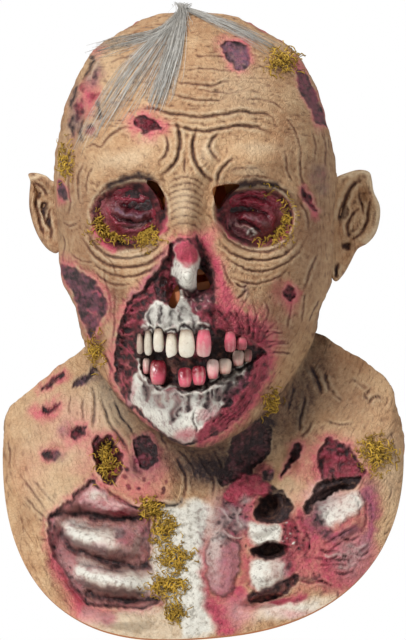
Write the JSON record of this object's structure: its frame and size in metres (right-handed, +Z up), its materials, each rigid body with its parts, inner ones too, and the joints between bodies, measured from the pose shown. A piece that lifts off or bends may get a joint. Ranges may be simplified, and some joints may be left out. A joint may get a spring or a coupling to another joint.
{
  "type": "zombie mask",
  "caption": "Full-head rotting face mask of thin cast latex with bare teeth, sunken eyes, ears, ribs and a chest bib, hollow and open below.",
  "frame": {"origin": "on the inside of the crown, where the mask hangs on the wearer's head", "axes": "+Z up through the crown, the face looks along -Y, +X towards the mask's left ear, which is on the right of the picture"},
  "size_m": [0.275, 0.2371, 0.4281],
  "materials": {
    "latex_skin": "matt painted latex",
    "eye_tissue": "wet gloss over dark red latex",
    "tooth_enamel": "satin, stained at the root",
    "moss_fibre": "dull curled fibre",
    "grey_hair": "thin synthetic strands"
  },
  "bodies": {
    "root": {"latex_skin": "latex_skin", "eye_lump_left": "eye_tissue", "eye_lump_right": "eye_tissue", "hair_lock_front": "grey_hair", "hair_lock_left": "grey_hair", "hair_lock_right": "grey_hair", "hair_tuft_crown": "grey_hair", "hair_wisp_left": "grey_hair", "lower_tooth_1": "tooth_enamel", "lower_tooth_2": "tooth_enamel", "lower_tooth_3": "tooth_enamel", "lower_tooth_4": "tooth_enamel", "lower_tooth_5": "tooth_enamel", "lower_tooth_6": "tooth_enamel", "lower_tooth_7": "tooth_enamel", "lower_tooth_8": "tooth_enamel", "moss_chest_1": "moss_fibre", "moss_chest_2": "moss_fibre", "moss_chest_3": "moss_fibre", "moss_chest_4": "moss_fibre", "moss_chest_5": "moss_fibre", "moss_eye_left": "moss_fibre", "moss_eye_left_inner": "moss_fibre", "moss_eye_right": "moss_fibre", "moss_jaw_left": "moss_fibre", "moss_jaw_right": "moss_fibre", "moss_scalp": "moss_fibre", "moss_shoulder_right": "moss_fibre", "moss_temple": "moss_fibre", "moss_wound_left": "moss_fibre", "upper_tooth_1": "tooth_enamel", "upper_tooth_2": "tooth_enamel", "upper_tooth_3": "tooth_enamel", "upper_tooth_4": "tooth_enamel", "upper_tooth_5": "tooth_enamel", "upper_tooth_6": "tooth_enamel", "upper_tooth_7": "tooth_enamel", "upper_tooth_8": "tooth_enamel"}
  },
  "joints": []
}
